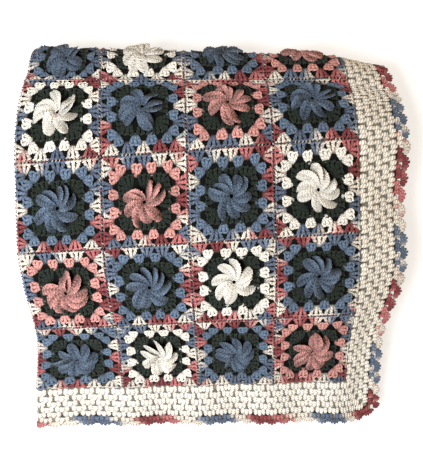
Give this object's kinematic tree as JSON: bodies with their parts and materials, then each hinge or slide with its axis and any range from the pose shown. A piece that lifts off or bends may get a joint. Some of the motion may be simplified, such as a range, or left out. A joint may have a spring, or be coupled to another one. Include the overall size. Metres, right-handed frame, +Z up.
{
  "type": "folded throw blanket",
  "caption": "Crocheted granny-square throw with raised spiral flowers, a plain granny border and a scalloped edging, folded in half both ways into a loose pile.",
  "frame": {"origin": "on the surface it lies on, under the middle of the pile's bounding box", "axes": "+Z up; +Y towards the far fold; -Y towards the hem; -X the lengthwise fold; +X the free side edge"},
  "size_m": [0.5996, 0.6214, 0.1325],
  "materials": {
    "white_yarn": "cream white worsted acrylic yarn, matte",
    "blue_yarn": "country blue worsted acrylic yarn, matte",
    "pink_yarn": "rose pink worsted acrylic yarn, matte",
    "green_yarn": "dark forest green worsted acrylic yarn, matte",
    "variegated_yarn": "variegated worsted acrylic yarn running white, pink, raspberry and denim blue, matte"
  },
  "bodies": {
    "root": {"end_border_top_inner": "white_yarn", "end_border_top_outer": "white_yarn", "end_border_under_inner": "white_yarn", "end_border_under_outer": "white_yarn", "end_edging_top_inner": "variegated_yarn", "end_edging_top_outer": "variegated_yarn", "end_edging_under_inner": "variegated_yarn", "end_edging_under_outer": "variegated_yarn", "inner_squares_fold": "green_yarn", "inner_squares_top_r1": "green_yarn", "inner_squares_top_r2": "green_yarn", "inner_squares_top_r3": "green_yarn", "inner_squares_top_r4": "green_yarn", "inner_squares_under_r1": "green_yarn", "inner_squares_under_r2": "green_yarn", "inner_squares_under_r3": "green_yarn", "inner_squares_under_r4": "green_yarn", "side_border_inner": "white_yarn", "side_border_outer": "white_yarn", "side_edging_inner": "variegated_yarn", "side_edging_outer": "variegated_yarn", "square_fold_c1": "blue_yarn", "square_fold_c2": "white_yarn", "square_fold_c3": "blue_yarn", "square_fold_c4": "pink_yarn", "square_top_r1_c1": "white_yarn", "square_top_r1_c2": "blue_yarn", "square_top_r1_c3": "pink_yarn", "square_top_r1_c4": "blue_yarn", "square_top_r2_c1": "blue_yarn", "square_top_r2_c2": "pink_yarn", "square_top_r2_c3": "blue_yarn", "square_top_r2_c4": "white_yarn", "square_top_r3_c1": "pink_yarn", "square_top_r3_c2": "blue_yarn", "square_top_r3_c3": "white_yarn", "square_top_r3_c4": "blue_yarn", "square_top_r4_c1": "blue_yarn", "square_top_r4_c2": "white_yarn", "square_top_r4_c3": "blue_yarn", "square_top_r4_c4": "pink_yarn", "square_under_r1_c1": "white_yarn", "square_under_r1_c2": "blue_yarn", "square_under_r1_c3": "pink_yarn", "square_under_r1_c4": "blue_yarn", "square_under_r2_c1": "blue_yarn", "square_under_r2_c2": "pink_yarn", "square_under_r2_c3": "blue_yarn", "square_under_r2_c4": "white_yarn", "square_under_r3_c1": "pink_yarn", "square_under_r3_c2": "blue_yarn", "square_under_r3_c3": "white_yarn", "square_under_r3_c4": "blue_yarn", "square_under_r4_c1": "blue_yarn", "square_under_r4_c2": "white_yarn", "square_under_r4_c3": "blue_yarn", "square_under_r4_c4": "pink_yarn"}
  },
  "joints": []
}
